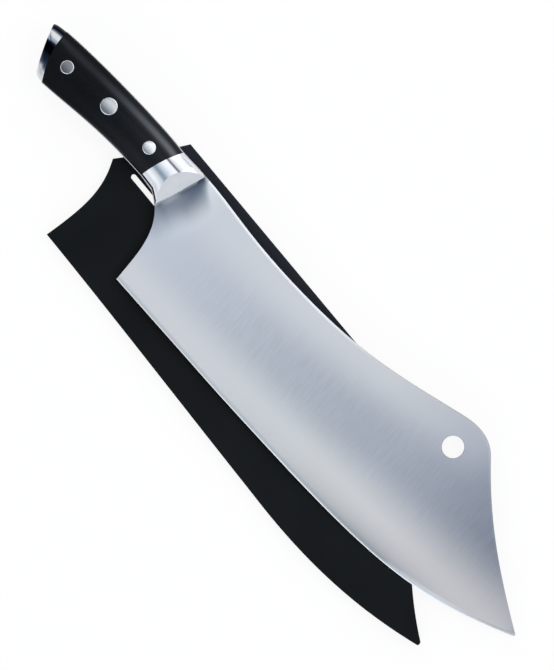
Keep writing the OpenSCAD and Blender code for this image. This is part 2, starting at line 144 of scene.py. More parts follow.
bolster_slope = math.radians(30)
foot_top, foot_bottom = on_handle([[.0235, .536], [-.036, -.555]])
foot = foot_top - foot_bottom
foot_len = np.linalg.norm(foot)
toe_slope, toe_len, toe_sink = .36, 4.6, 1.2
toe_low_fade, toe_far_fade = (-.35, .1), (-26, -10)


def toe_rise(xy):
    """How far the bolster's front stands above the flat at a place: a sloping facet behind the foot
    line, and in front of it a hollow that dies away into the flat blade as an exponential."""
    back = (xy - foot_bottom) @ (np.array([-foot[1], foot[0]]) / foot_len)
    hollow = toe_slope * toe_len * np.exp(np.minimum(back, 0) / toe_len)
    return hollow + math.tan(bolster_slope) * np.maximum(back, 0), back


def toe_on_blade(xy, w):
    """The part of that blend that lies on the blade: it sinks away under the cheek, ends under the
    handle's arch at both sides, and fades out below the foot of the bolster and far ahead of it."""
    rise, back = toe_rise(xy)
    rise = np.where(back > 0, toe_rise(foot_bottom)[0] * np.clip(1 - back / toe_sink, 0, 1), rise)
    up_foot = ((xy - foot_bottom) @ foot) / (foot @ foot)
    side = (bolster_w - tang_t) * np.sqrt(np.clip(w * (1 - w), 0, None))
    fade = soft_step(up_foot, *toe_low_fade) * soft_step(back, *toe_far_fade)
    return np.minimum(np.maximum(rise, 0) * fade, side)


def handle_low(s, inset=0.0):
    """The lower end of a handle rib, from the cap's seam at s 0 to the bolster's seam at s 1."""
    x = mix(belly_from * handle_len + cap_bottom, -bolster_bottom, np.asarray(s, float))
    return np.stack([x, height_on(handle_bottom_line, x) + inset], -1)


def handle_high(s, inset=0.0):
    """The upper end of a handle rib, from the cap's seam at s 0 to the bolster's seam at s 1."""
    x = mix(-handle_len + cap_top, -bolster_top, np.asarray(s, float))
    return np.stack([x, height_on(handle_top_line, x) - inset], -1)


def across(low, high, w, bow):
    """Places a share w of the way along a rib from low to high, bowed towards the butt as a parabola."""
    w = np.asarray(w, float)
    p = low + (high - low) * w[..., None]
    p[..., 0] -= 4 * bow * w * (1 - w)
    return p


def knife_place(points):
    """Knife points in millimetres, tilted to rest on the bolster and the edge, lifted, in metres."""
    x, y, z = np.moveaxis(np.asarray(points, float), -1, 0)
    c, s = math.cos(knife_tilt), math.sin(knife_tilt)
    return np.stack([x * c + z * s, y, -x * s + z * c + knife_lift_z], -1) / 1000


def ring_round(ids, i0, i1, j0, j1):
    """The point numbers round a block of a net, in order."""
    return np.concatenate([ids[i0:i1, j0], ids[i1, j0:j1], ids[i1:i0:-1, j1], ids[i0, j1:j0:-1]])


def bridge(a, b):
    """The faces between two closed loops of point numbers of the same length."""
    return np.stack([a, np.roll(a, -1), np.roll(b, -1), b], -1)


def lining(start, rings, end, count):
    """The faces from one loop of point numbers through new rings, numbered on from count, to another."""
    size = len(start)
    loops = [start, *(count + q * size + np.arange(size) for q in range(len(rings))), end]
    return [bridge(p, q) for p, q in zip(loops[:-1], loops[1:])]


def quads(ids, keep=None):
    """The faces of a net of point numbers, all of them or only those that are kept."""
    i, j = np.where(np.ones(np.subtract(ids.shape, 1), bool) if keep is None else keep)
    return np.stack([ids[i, j], ids[i + 1, j], ids[i + 1, j + 1], ids[i, j + 1]], -1)


tiny, merge_within = 1e-9, 2e-7


def nearest_on(xy, seg_a, seg_b):
    """For each place, the nearest place on the line from seg_a to seg_b."""
    a, b = np.asarray(seg_a, float), np.asarray(seg_b, float)
    d = b - a
    t = np.clip(((xy - a) @ d) / max(d @ d, tiny), 0, 1)
    return a + t[..., None] * d


def block_near(xy, seg_a, seg_b, reach):
    """The block of a net that holds every point nearer than reach to the line from seg_a to seg_b."""
    i, j = np.where(np.linalg.norm(xy - nearest_on(xy, seg_a, seg_b), axis=-1) < reach)
    return i.min() - 1, i.max() + 1, j.min() - 1, j.max() + 1


def slot_points(xy, seg_a, seg_b, radius):
    """For each place, the nearest place on the rim of the round-ended hole along seg_a to seg_b."""
    c = nearest_on(xy, seg_a, seg_b)
    out = xy - c
    return c + radius * out / np.linalg.norm(out, axis=-1, keepdims=True)


def make_piece(name, points, faces, material, body, nodes, sharp=32):
    """A closed piece in metres: doubles merged, faces turned outwards, smooth between sharp edges."""
    mesh = bpy.data.meshes.new(name)
    flat = [f for block in faces for f in (block.tolist() if isinstance(block, np.ndarray) else block)]
    mesh.from_pydata(np.asarray(points).tolist(), [], flat)
    build = bmesh.new()
    build.from_mesh(mesh)
    bmesh.ops.remove_doubles(build, verts=build.verts, dist=merge_within)
    bmesh.ops.recalc_face_normals(build, faces=build.faces)
    build.to_mesh(mesh)
    build.free()
    mesh.shade_smooth()
    mesh.set_sharp_from_angle(angle=math.radians(sharp))
    piece = bpy.data.objects.new(name, mesh)
    bpy.context.scene.collection.objects.link(piece)
    mesh.materials.append(material)
    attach(piece, body)
    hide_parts(*nodes)
    return piece


def feed(node, *first, **named):
    """Fills a node: its settings, then its inputs, in order or by name, each with a value or a link."""
    inputs = list(enumerate(first))
    for key, value in named.items():
        if hasattr(node, key):
            setattr(node, key, value)
        else:
            inputs.append((key.replace("_", " "), value))
    for key, value in inputs:
        if isinstance(value, bpy.types.NodeSocket):
            node.id_data.links.new(value, node.inputs[key])
        else:
            node.inputs[key].default_value = value
    return node


def adder(tree):
    """A short way to add shader nodes to a tree, filled as they are made."""
    return lambda kind, *first, **named: feed(tree.nodes.new("ShaderNode" + kind), *first, **named)


def nodes_of(name):
    """A new material, its Principled shader, a way to add nodes, and the object's own coordinates."""
    material = bpy.data.materials.new(name)
    material.use_nodes = True
    add = adder(material.node_tree)
    return material, material.node_tree.nodes["Principled BSDF"], add, add("TexCoord").outputs["Object"]


def ramp(add, share, *stops):
    """A ramp of colours between stops, each a share from 0 to 1 and a colour."""
    node = add("ValToRGB", share)
    marks = node.color_ramp.elements
    for mark, (position, colour) in zip((marks[0], marks[1]), (stops[0], stops[-1])):
        mark.position, mark.color = position, (*colour, 1)
    for position, colour in stops[1:-1]:
        marks.new(position).color = (*colour, 1)
    return node.outputs["Color"]


def ranged(add, value, low, high, start=0.0, end=1.0, **settings):
    """A value carried over from the range start to end to the range low to high."""
    return add("MapRange", value, start, end, low, high, **settings).outputs[0]


def blend(add, amount, below, above, kind="MIX"):
    """One colour laid over another, by a mask or a fixed amount."""
    return add("Mix", data_type="RGBA", blend_type=kind, Factor=amount, A=below, B=above).outputs["Result"]


def noise(add, place, scale, detail, roughness=0.5, **fit):
    """Noise at one even scale, or at three scales through a mapping that can be turned as well."""
    if isinstance(scale, tuple):
        place, scale = add("Mapping", place, Scale=scale, **fit).outputs[0], 1.0
    return add("TexNoise", place, Scale=scale, Detail=detail, Roughness=roughness).outputs["Fac"]


def bumps(add, height, strength, distance):
    """The normal over fine bumps of a height."""
    return add("Bump", Strength=strength, Distance=distance, Height=height).outputs[0]


def blade_steel():
    """Brushed stainless steel: fine scratches across the blade in bump, roughness and tone. Three ramps
    along the blade give the tone beside the edge, in the hollow of the grind and beside the spine: the
    steel's own grey with painted reflection and painted shade, darker in the hollow and towards the tip.
    The mesh's own attribute of masks says how much of each there is, and of the painted shades and
    highlights."""
    material, shader, add, place = nodes_of("blade_steel")
    belt = {"vector_type": "TEXTURE", "Rotation": (0, 0, math.radians(9))}
    scratch = noise(add, place, (1 / 5200, 1 / 60, 1 / 60), 4.0, 0.6, **belt)
    streak = noise(add, place, (1 / 900, 1 / 80, 1 / 80), 2.0, **belt)
    forward = ranged(add, add("SeparateXYZ", place).outputs["X"], 0, 1, end=0.32)
    masks = add("Attribute", attribute_name="grind_shade_and_highlight_masks")
    by_edge, by_spine, shade = add("SeparateColor", masks.outputs["Color"]).outputs
    # the three ramps are painted reflection and painted shade over the steel's own grey, darkest towards the
    # tip
    hollow = ramp(add, forward, (.05, (.535, .548, .585)), (.3, (.436, .457, .484)), (.5, (.370, .388, .418)),
                  (.6, (.348, .365, .400)), (.7, (.298, .311, .352)), (.88, (.177, .194, .236)))
    edge_side = ramp(add, forward, (0, (.632, .622, .625)), (.4, (.592, .585, .575)),
                     (.6, (.582, .566, .553)), (.8, (.542, .515, .502)), (1, (.567, .530, .512)))
    spine_side = ramp(add, forward, (0, (.596, .606, .62)), (.3, (.598, .59, .596)), (.5, (.545, .543, .545)),
                      (.6, (.475, .476, .49)), (.7, (.383, .389, .425)), (.76, (.258, .278, .320)),
                      (.88, (.177, .194, .236)))
    tone = blend(add, by_spine, blend(add, by_edge, hollow, edge_side), spine_side)
    # painted shade: a dark blue-grey laid in front of the bolster and along the belly
    tone = blend(add, shade, tone, (.092, .113, .148, 1))
    # painted highlight: near white laid along the spine's corner and the cutting edge's lip
    tone = blend(add, masks.outputs["Alpha"], tone, (.97, .98, .98, 1))
    # the marks show in the hollow and fade out to both sides and towards the bolster
    unmarked = (1.045, 1.045, 1.045, 1)
    marks = blend(add, by_edge, ranged(add, streak, 0.93, 1.16), unmarked)
    marks = blend(add, by_spine, marks, unmarked)
    marks = blend(add, ramp(add, forward, (.04, (1, 1, 1)), (.24, (0, 0, 0))), marks, unmarked)
    feed(shader, Metallic=1.0, Base_Color=blend(add, 1.0, tone, marks, "MULTIPLY"),
         Roughness=ranged(add, scratch, 0.26, 0.38), Normal=bumps(add, scratch, 0.12, 0.00002))
    return material


def grind_shade_and_highlight_masks(x, y):
    """Four shares for each place on the blade, as a colour and its alpha. Red and green say how far it
    belongs to the edge's side and to the spine's side of the grind's hollow line, a parabola that climbs
    towards the tip. Blue is painted shade: in front of the bolster, deepest at the spine, fading out
    forwards and leaving a part of the foot line lighter, and along the belly beside the bevel. Alpha is
    painted highlight along the corner of the spine and the lip of the cutting edge, broadest under the hump."""
    hollow_start, hollow_climb, tip_spread, spread_at = -27, 5.5e-4, 1.5, 312
    ahead = np.maximum(x, 0)
    hollow = hollow_start + hollow_climb * ahead ** 2
    edge_side = soft_step((hollow - y) / (1 + tip_spread * (ahead / spread_at) ** 3), 5, 28)
    spine_side = soft_step(y - hollow, 3, 31)
    # the painted shade in front of the bolster, by the share up the foot line and the millimetres forward of
    # it
    up = ((x - foot_bottom[0]) * foot[0] + (y - foot_bottom[1]) * foot[1]) / (foot @ foot)
    forward = ((x - foot_bottom[0]) * foot[1] - (y - foot_bottom[1]) * foot[0]) / foot_len
    depth = np.interp(up, [-.45, -.3, -.1, .05, .2, .3, .4, .6, .8, .95, .98, 1.02, 1.06],
                      [.1, .29, .58, .82, .79, .79, .82, .95, 1, 1, .75, .5, 0])
    start = np.interp(up, [-.3, -.1, .1, .4, .7, .9, 1.02], [10, 4, 3, 7, 4, 1, 0])
    end = np.interp(up, [-.3, .1, .4, .7, .8, .85, .9, .95, 1.02],
                    [24, 22, 23.5, 22.5, 21.5, 18.5, 13.5, 8.8, 2.5])
    lighter = .85 * np.clip(1 - ((up - .26) / .22) ** 2, 0, 1) * (1 - soft_step(forward, 0, 4.5))
    onset = np.interp(up, [.8, .9], [0, 2.5])
    shade = depth * (1 - soft_step(forward, start, end)) * (1 - lighter)
    shade *= soft_step(forward, -.5 - onset, 2 - onset)
    # the painted shade along the belly and the painted highlight on the lip, by x and the millimetres over
    # the edge
    over_edge = y - height_on(edge_line, x)
    belly = np.interp(x, [90, 130, 150, 170, 190, 210, 230, 250, 270, 290, 310],
                      [0, .09, .13, .23, .335, .43, .44, .33, .18, .09, 0])
    belly *= np.interp(over_edge, [0, 3, 4, 5, 6, 8, 10, 12, 14, 18],
                       [1, 1, .85, .72, .62, .45, .32, .22, .14, 0])
    lip = np.interp(x, [20, 60, 130, 170, 215, 250, 270, 290, 310],
                    [.25, .2, .52, .78, .7, .64, .64, .44, .25])
    lip_w = np.interp(x, [232, 248, 270, 290, 305], [.8, 2.9, 3.2, 2, .8])
    lip = np.where(x > heel_reach, lip * np.clip(1 - (over_edge - .3) / lip_w, 0, 1), 0)
    # a painted highlight along the corner of the spine, fading out between 100 and 150 mm
    spine_highlight = (1 - soft_step(height_on(spine_line, x) - y, .1, .7)) * (1 - soft_step(x, 100, 150))
    spine_highlight = np.where(x > 6, spine_highlight, 0)
    return np.stack([edge_side, spine_side, np.maximum(shade, belly), np.maximum(spine_highlight, lip)], -1)


def flat_places(piece):
    """A knife piece's vertices, back in the millimetres of the knife's own plan."""
    spots = np.empty(len(piece.data.vertices) * 3)
    piece.data.vertices.foreach_get("co", spots)
    spots = spots.reshape(-1, 3) * 1000 - [0, 0, knife_lift_z]
    return spots[:, 0] * math.cos(knife_tilt) - spots[:, 2] * math.sin(knife_tilt), spots[:, 1]


def carry(piece, name, values):
    """Gives a piece an attribute for its material, a number or a colour for each vertex."""
    kind, field = ("FLOAT", "value") if values.ndim == 1 else ("FLOAT_COLOR", "color")
    piece.data.attributes.new(name, kind, "POINT").data.foreach_set(field, values.ravel())


# ribs of the tang, of the choil and of the blade, from the cap's seam to the tip
tang_s = np.linspace(0, 1, 61)
choil_t = np.linspace(0, 1, 91)[1:]
choil_x = mix(choil_start[0], heel_reach, choil_t)
choil_high = np.where(choil_x < 0, height_on(handle_top_line, choil_x), height_on(spine_line, choil_x))
blade_high = along(spine_line[spine_line[:, 0] > heel_reach], np.linspace(0, 1, 261)[1:])
rib_low = np.vstack([handle_low(tang_s), bezier(choil_curve, choil_t),
                     np.stack([blade_high[:, 0], height_on(edge_line, blade_high[:, 0])], -1)])
rib_high = np.vstack([handle_high(tang_s), np.stack([choil_x, choil_high], -1), blade_high])
rib_bow = np.concatenate([mix(seam_bow, bolster_bow, tang_s), bolster_bow * (1 - choil_t) ** 4,
                          np.zeros(len(blade_high))])
tall = np.linalg.norm(rib_high - rib_low, axis=1)
# across each rib: two steps for the bevel, even steps to the spine, and a rounded rim at both ends
most_bevel, most_ease = .3, .45
first = np.minimum(bevel_w, most_bevel * tall) / tall
sheet_w = np.concatenate([np.outer(first, [0, .5]), mix(first[:, None], 1, np.linspace(0, 1, 54))], 1)
ends = across(rib_low[:, None], rib_high[:, None], np.tile([0.0, 1.0], (len(tall), 1)), rib_bow[:, None])
end_half = blade_half(ends[..., 0], ends[..., 1])
ease = np.minimum(spine_ease, most_ease * end_half)
ease_w = ease / tall[:, None]
sheet_w = ease_w[:, :1] + sheet_w * (1 - ease_w.sum(1, keepdims=True))
sheet = across(rib_low[:, None], rib_high[:, None], sheet_w, rib_bow[:, None])
sheet_half = blade_half(sheet[..., 0], sheet[..., 1]) + toe_on_blade(sheet, sheet_w)


def rim(side):
    """The rounded rim at one end of every rib, from the upper face down to the lower one."""
    turn = np.radians([30, 60, 90])
    w_in, r = ease_w[:, side:side + 1], ease[:, side:side + 1]
    w = w_in * (1 - np.sin(turn)) if side == 0 else 1 - w_in * (1 - np.sin(turn))
    z = end_half[:, side:side + 1] - r * (1 - np.cos(turn))
    w, z = np.concatenate([w, w[:, ::-1]], 1), np.concatenate([z, -z[:, ::-1]], 1)
    xy = across(rib_low[:, None], rib_high[:, None], w, rib_bow[:, None])
    return np.concatenate([xy, z[..., None]], -1)


upper = np.concatenate([sheet, sheet_half[..., None]], -1)
lower = upper[:, ::-1] * [1, 1, -1]
loops = np.concatenate([upper, rim(1), lower, rim(0)[:, ::-1]], 1)
n, m, k = len(loops), loops.shape[1], sheet.shape[1]
ids = np.arange(n * m).reshape(n, m)
rim_n = m // 2 - k
last_lower = 2 * k + rim_n - 1
upper_ids, lower_ids = ids[:, :k], ids[:, k + rim_n:last_lower + 1][:, ::-1]
keep = np.ones((n - 1, m), bool)
blade_points = [loops.reshape(-1, 3)]
blade_faces = [[ids[0].tolist(), ids[-1].tolist()]]
holes = [((hang_hole_x, hang_hole_y), hang_hole_d / 2)]


def rivet_place(share, rise):
    """A rivet's place on the handle, midway between its outlines and raised a little."""
    x = share * handle_len
    middle = (height_on(handle_top_line, x) + height_on(handle_bottom_line, x)) / 2
    return np.array([x, middle + rise * handle_h])


rivets = {"rear": (rivet_place(-.803, .02), 8.0), "middle": (rivet_place(-.532, .01), 10.2),
          "front": (rivet_place(-.257, .01), 8.0)}
holes += [(tuple(place), post_d / 2 + fit_gap) for place, _ in rivets.values()]
count, hole_margin, hole_brim = n * m, 1.4, .2
# round each hole a block of the net is left out, and rings join it to the rim and down the wall
for centre, radius in holes:
    i0, i1, j0, j1 = block_near(sheet, centre, centre, radius + hole_margin)
    keep[i0:i1, j0:j1] = False
    keep[i0:i1, last_lower - j1:last_lower - j0] = False
    start = ring_round(upper_ids, i0, i1, j0, j1)
    outer = loops.reshape(-1, 3)[start][:, :2]
    brim = slot_points(outer, centre, centre, radius + hole_brim)
    rings = []
    for t in (.35, .7, 1.0):
        xy = mix(outer, brim, t)
        rings.append(np.column_stack([xy, blade_half(xy[:, 0], xy[:, 1])]))
    wall = slot_points(outer, centre, centre, radius)
    rings.append(np.column_stack([wall, rings[-1][:, 2] - hole_brim]))
    rings += [r * [1, 1, -1] for r in rings[::-1]]
    blade_faces += lining(start, rings, ring_round(lower_ids, i0, i1, j0, j1), count)
    blade_points += rings
    count += len(rings) * len(start)
blade_faces.append(quads(np.column_stack([ids, ids[:, 0]]), keep))
blade = make_piece("blade_forging", knife_place(np.vstack(blade_points)), blade_faces, blade_steel(),
                   "knife", ["blade"], sharp=25)
carry(blade, "grind_shade_and_highlight_masks", grind_shade_and_highlight_masks(*flat_places(blade)))

# The bolster is two polished steel cheeks, one on each side of the tang. Their arch carries the
# handle's section forward, and a flat sloping facet cuts it down to the blade in the shape of a lens.
set_back, lip_t = 0.4, 0.3


def arch(turn, half):
    """The height over the tang at an angle along a half ellipse, never below the lip."""
    return np.maximum(tang_t / 2 + lip_t, mix(tang_t / 2, half, np.sin(turn)))


def attribute(add, name):
    """An attribute of the mesh, one number for each vertex."""
    return add("Attribute", attribute_name=name).outputs["Fac"]


def polished_steel(name, *reflection_bands):
    """Mirror-polished steel with a trace of fine wiping marks that only just break up the gloss. The
    reflection bands, if there are any, paint dark and bright reflections into its tone along lines from the
    handle's belly at 0 to its back at 1."""
    material, shader, add, place = nodes_of(name)
    wipe = noise(add, place, (120, 2600, 900), 3.0, 0.6)
    tone = ramp(add, noise(add, place, 90.0, 2.0), (0.3, (0.76, 0.77, 0.80)), (0.7, (0.84, 0.85, 0.87)))
    # painted reflection: the bands multiply the tone
    if reflection_bands:
        tone = blend(add, 1.0, tone, ramp(add, attribute(add, "across_share"), *reflection_bands), "MULTIPLY")
    feed(shader, Metallic=1.0, Base_Color=tone, Roughness=ranged(add, wipe, 0.05, 0.13))
    return material


def cheek_xy(s, w):
    """A place on the cheek, from the scales' seam at s 0 to the foot line at s 1, and from the
    handle's lower side at w 0 to its upper side at w 1."""
    x_low, x_high = mix(-bolster_bottom, foot_bottom[0], s), mix(-bolster_top, foot_top[0], s)
    choil = bezier(choil_curve, np.linspace(0, 1, 200))
    low_y = np.where(x_low < choil_start[0], height_on(handle_bottom_line, x_low),
                     np.interp(x_low, choil[:, 0], choil[:, 1]))
    high_y = np.where(x_high < 0, height_on(handle_top_line, x_high), height_on(spine_line, x_high))
    return across(np.stack([x_low, low_y + set_back], -1), np.stack([x_high, high_y - set_back], -1),
                  w, bolster_bow * (1 - s))


def facet_height(xy):
    """The height over the middle plane of the facet and of the blend at its foot."""
    return tang_t / 2 + toe_rise(xy)[0]


polish = polished_steel("polished_steel")
# on each line from the seam to the foot, the crease lies where the facet sinks below the arch
turn = np.linspace(0, math.pi, 97)
w = (1 - np.cos(turn)) / 2
try_s = np.linspace(0, 1, 401)
tried = cheek_xy(np.tile(try_s[:, None], (1, len(w))), np.tile(w, (len(try_s), 1)))
over = facet_height(tried) - arch(turn, bolster_w / 2)
crease_s = np.array([np.interp(0, -over[:, q], try_s) for q in range(len(w))])
crease_s[[0, -1]] = 1.0
steps_s = np.concatenate([np.outer(np.linspace(0, 1, 25), crease_s),
                          crease_s + np.outer(np.linspace(0, 1, 19)[1:], 1 - crease_s)])
cheek_plan = cheek_xy(steps_s, np.tile(w, (len(steps_s), 1)))
cheek_top = np.minimum(facet_height(cheek_plan), arch(turn, bolster_w / 2))
top = np.concatenate([cheek_plan, cheek_top[..., None]], -1)
under = np.concatenate([cheek_plan, np.full(cheek_top.shape + (1,), tang_t / 2)], -1)


def closed_slab(top, under):
    """Points and faces of a solid between two nets over the same plan."""
    rows, cols = top.shape[:2]
    a = np.arange(rows * cols).reshape(rows, cols)
    b = a + rows * cols
    faces = [quads(a), quads(b)]
    outline = ring_round(a, 0, rows - 1, 0, cols - 1)
    faces.append(bridge(outline, outline + rows * cols))
    return np.concatenate([top.reshape(-1, 3), under.reshape(-1, 3)]), faces


cheek_points, cheek_faces = closed_slab(top, under)
for side, flip in (("right", 1), ("left", -1)):
    make_piece("bolster_cheek_" + side, knife_place(cheek_points * [1, 1, flip]), cheek_faces, polish,
               "knife", ["bolster_" + side], sharp=20)

# The handle scales are two slabs of black glass-fibre resin, riveted and glued to the tang. Their
# section is a half ellipse, and a thin line of the tang shows between them on the back and the belly.
handle_w, cap_w, head_t = 19.8, 19.0, 2.8


def carry_share(piece):
    """Gives a piece of the handle an attribute that runs from 0 at its belly to 1 at its back."""
    x, y = flat_places(piece)
    low, high = height_on(handle_bottom_line, x), height_on(handle_top_line, x)
    carry(piece, "across_share", (y - low) / (high - low))


def times(add, a, b):
    """The product of two numbers."""
    return add("Math", a, b, operation="MULTIPLY").outputs[0]


def handle_resin():
    """Satin black resin: a faint pressed-fibre grain along the handle, with soft uneven gloss. Its
    specular level is raised in a narrow band along the back, the more so towards the bolster, which paints a
    highlight there, and is low below."""
    material, shader, add, place = nodes_of("handle_resin")
    fibre = noise(add, place, (500, 2600, 2600), 4.0, 0.65)
    # a painted highlight: the specular level is high only in a band along the back, strongest near the
    # bolster
    glosses = (0, .1), (.5, .1), (.66, .16), (.72, .3), (.78, 1), (.83, 1), (.89, .3), (.95, .08), (1, .1)
    highlight_band = ramp(add, attribute(add, "across_share"), *((share, (gloss,) * 3) for share, gloss in glosses))
    near_bolster = ranged(add, add("SeparateXYZ", place).outputs["X"], 0.2, 1.0, -0.085, -0.02,
                          interpolation_type="SMOOTHSTEP")
    tone = ramp(add, fibre, (0.35, (0.0042, 0.0052, 0.0064)), (0.7, (0.0078, 0.0090, 0.0108)))
    feed(shader, Base_Color=tone, Roughness=ranged(add, noise(add, place, 60.0, 3.0), 0.22, 0.32),
         Specular_Tint=(0.92, 0.97, 1.08, 1), Specular_IOR_Level=times(add, highlight_band, near_bolster),
         Normal=bumps(add, fibre, 0.10, 0.00003))
    return material


def handle_half(s):
    """Half the handle's thickness along it, a parabola through cap, middle and bolster."""
    return mix(cap_w, bolster_w, s) / 2 + 2 * s * (1 - s) * (handle_w - (cap_w + bolster_w) / 2)


def scale_surface(s, turn):
    """The arched face of a scale at s along it and at an angle across it."""
    plan = across(handle_low(s, set_back), handle_high(s, set_back), (1 - np.cos(turn)) / 2,
                  mix(seam_bow, bolster_bow, s))
    return np.concatenate([plan, arch(turn, handle_half(s))[..., None]], -1)


def scale_find(xy):
    """The s and the angle at which the scale's face lies over the given places, by Newton's steps."""
    near_end, step, tries = .02, 1e-4, 12
    s = (xy[..., 0] + handle_len - cap_top) / (handle_len - cap_top - bolster_top)
    s = np.clip(s, near_end, 1 - near_end)
    turn = np.full_like(s, math.pi / 2)
    for _ in range(tries):
        at = scale_surface(s, turn)[..., :2]
        ds = (scale_surface(s + step, turn)[..., :2] - at) / step
        dt = (scale_surface(s, turn + step)[..., :2] - at) / step
        miss = xy - at
        det = ds[..., 0] * dt[..., 1] - ds[..., 1] * dt[..., 0]
        s = s + (miss[..., 0] * dt[..., 1] - miss[..., 1] * dt[..., 0]) / det
        turn = turn + (ds[..., 0] * miss[..., 1] - ds[..., 1] * miss[..., 0]) / det
    return s, turn


scale_s, scale_turn = np.meshgrid(np.linspace(0, 1, 121), np.linspace(0, math.pi, 65), indexing="ij")
face = scale_surface(scale_s, scale_turn)
rows, cols = face.shape[:2]
floor_net = face * [1, 1, 0] + [0, 0, tang_t / 2]
a = np.arange(rows * cols).reshape(rows, cols)
b = a + rows * cols
keep = np.ones((rows - 1, cols - 1), bool)
scale_points, scale_faces, count = [face.reshape(-1, 3), floor_net.reshape(-1, 3)], [], 2 * rows * cols
outline = ring_round(a, 0, rows - 1, 0, cols - 1)
scale_faces.append(bridge(outline, outline + rows * cols))
rivet_seat, bore_margin, bore_brim = {}, .7, .08
# each counterbore is cut into both nets: a brim, the wall, the seat of the head, and the post's bore
for name, (centre, head_d) in rivets.items():
    radius = head_d / 2 + fit_gap
    i0, i1, j0, j1 = block_near(face[..., :2], centre, centre, radius + bore_margin)
    keep[i0:i1, j0:j1] = False
    start = ring_round(a, i0, i1, j0, j1)
    s0, t0 = scale_s.ravel()[start], scale_turn.ravel()[start]
    outer = face.reshape(-1, 3)[start][:, :2]
    s1, t1 = scale_find(slot_points(outer, centre, centre, radius + bore_brim))
    rings = [scale_surface(mix(s0, s1, q), mix(t0, t1, q)) for q in (.5, 1.0)]
    seat = float(handle_half(scale_find(centre[None])[0])[0]) - head_t
    rivet_seat[name] = seat
    wall = slot_points(outer, centre, centre, radius)
    bore = slot_points(outer, centre, centre, post_d / 2 + fit_gap)
    rings.append(np.column_stack([wall, rings[-1][:, 2] - bore_brim]))
    rings += [np.column_stack([xy, np.full(len(xy), z)])
              for xy, z in ((wall, seat), (bore, seat), (bore, tang_t / 2))]
    scale_faces += lining(start, rings, ring_round(b, i0, i1, j0, j1), count)
    scale_points += rings
    count += len(rings) * len(start)
scale_faces += [quads(a, keep), quads(b, keep)]
scale_points = np.vstack(scale_points)
resin = handle_resin()
for side, flip in (("right", 1), ("left", -1)):
    carry_share(make_piece("handle_scale_" + side, knife_place(scale_points * [1, 1, flip]), scale_faces,
                           resin, "knife", ["scale_" + side], sharp=35))

# Each rivet is a steel stud whose pin is driven into a hollow post from the other side. The heads sit
# in counterbores and are ground flush with the scales, with a bright rim and a satin face.
pin_d = 3.0


def tube(rows):
    """The faces of a closed tube whose rings are rows of point numbers."""
    return [bridge(p, q) for p, q in zip(rows[:-1], rows[1:])] + [[rows[0].tolist(), rows[-1].tolist()]]


def rivet_steel():
    """Ground steel with fine marks along the handle, a little brighter than the blade. The heads carry
    painted reflection and shade: darker towards the butt and towards the belly, brighter ahead and above."""
    material, shader, add, place = nodes_of("rivet_steel")
    mark = noise(add, place, (400, 7000, 400), 3.0, Rotation=(0, 0, math.radians(25)))
    along_handle = ranged(add, add("SeparateXYZ", place).outputs["X"], 0, 1, -0.105, -0.025)
    # painted reflection: the heads' tone is dark at the rear rivet and bright at the front one
    tone = ramp(add, along_handle, (.1, (0.235, 0.24, 0.265)), (.5, (0.58, 0.59, 0.61)),
                (.9, (0.82, 0.83, 0.84)))
    # painted shade and highlight across each head: darker towards the belly, brighter towards the back
    painted_shade_across = ranged(add, attribute(add, "across_share"), 0.36, 1.1, 0.40, 0.62)
    tone = blend(add, 1.0, tone, times(add, ranged(add, mark, 0.86, 1.14), painted_shade_across), "MULTIPLY")
    tone = blend(add, attribute(add, "rim_share"), tone, (0.74, 0.75, 0.77, 1))
    feed(shader, Metallic=1.0, Base_Color=tone, Roughness=ranged(add, mark, 0.20, 0.34))
    return material


head_steel = rivet_steel()
turns = np.linspace(0, 2 * math.pi, 72, endpoint=False)
ring = np.stack([np.cos(turns), np.sin(turns)], -1)
# the head is flat up to its inset, then rounds over its rim by steps inwards and down
flat_inset, rim_steps = 1.1, ((.7, .012), (.3, .06), (.1, .14), (0, .28))
dot, end_wall, rim_band = .02, 1, (-.75, -.35)
for name, (centre, head_d) in rivets.items():
    seat = rivet_seat[name]

    def disc(radius, z=None, drop=0.0):
        """A ring of the rivet, at a height or on the scale's own face less a drop."""
        xy = centre + ring * radius
        z = scale_surface(*scale_find(xy))[:, 2] - drop if z is None else np.full(len(xy), z)
        return np.column_stack([xy, z])

    head = [disc(r) for r in np.linspace(dot, 1, 9) * (head_d / 2 - flat_inset)]
    head += [disc(head_d / 2 - inset, drop=drop) for inset, drop in rim_steps]
    head.append(disc(head_d / 2, z=seat))
    pin, post, bore = pin_d / 2, post_d / 2, pin_d / 2 + fit_gap
    pin_end, post_end, bore_end = head_t - seat, fit_gap - seat, seat - end_wall
    stud = (pin, seat), (pin, pin_end), (dot, pin_end)
    socket = (post, seat), (post, post_end), (bore, post_end), (bore, bore_end), (dot, bore_end)
    for half, shank, flip in (("stud", stud, 1), ("socket", socket, -1)):
        stack = head + [disc(r, z=z) for r, z in shank]
        number = np.arange(len(ring) * len(stack)).reshape(-1, len(ring))
        node = name + "_rivet_" + half
        piece = make_piece(node + "_turned", knife_place(np.vstack(stack) * [1, 1, flip]), tube(number),
                           head_steel, "knife", [node], sharp=30)
        carry_share(piece)
        x, y = flat_places(piece)
        out = np.hypot(x - centre[0], y - centre[1]) - head_d / 2
        carry(piece, "rim_share", soft_step(out, *rim_band))

# The end cap is a polished steel butt, pressed onto a tongue at the end of the tang. Its front seam is
# bowed like the scales' ends, and its back end draws in all round.
butt_bow, butt_round, butt_round_share, butt_top_share, crowding = 0.8, 1.6, .4, .2, 1.8


def cap_ease(s):
    """How much the cap draws in near the butt, a quarter circle over the first share of its length."""
    return butt_round * (1 - np.sqrt(1 - (1 - np.minimum(1, s / butt_round_share)) ** 2))


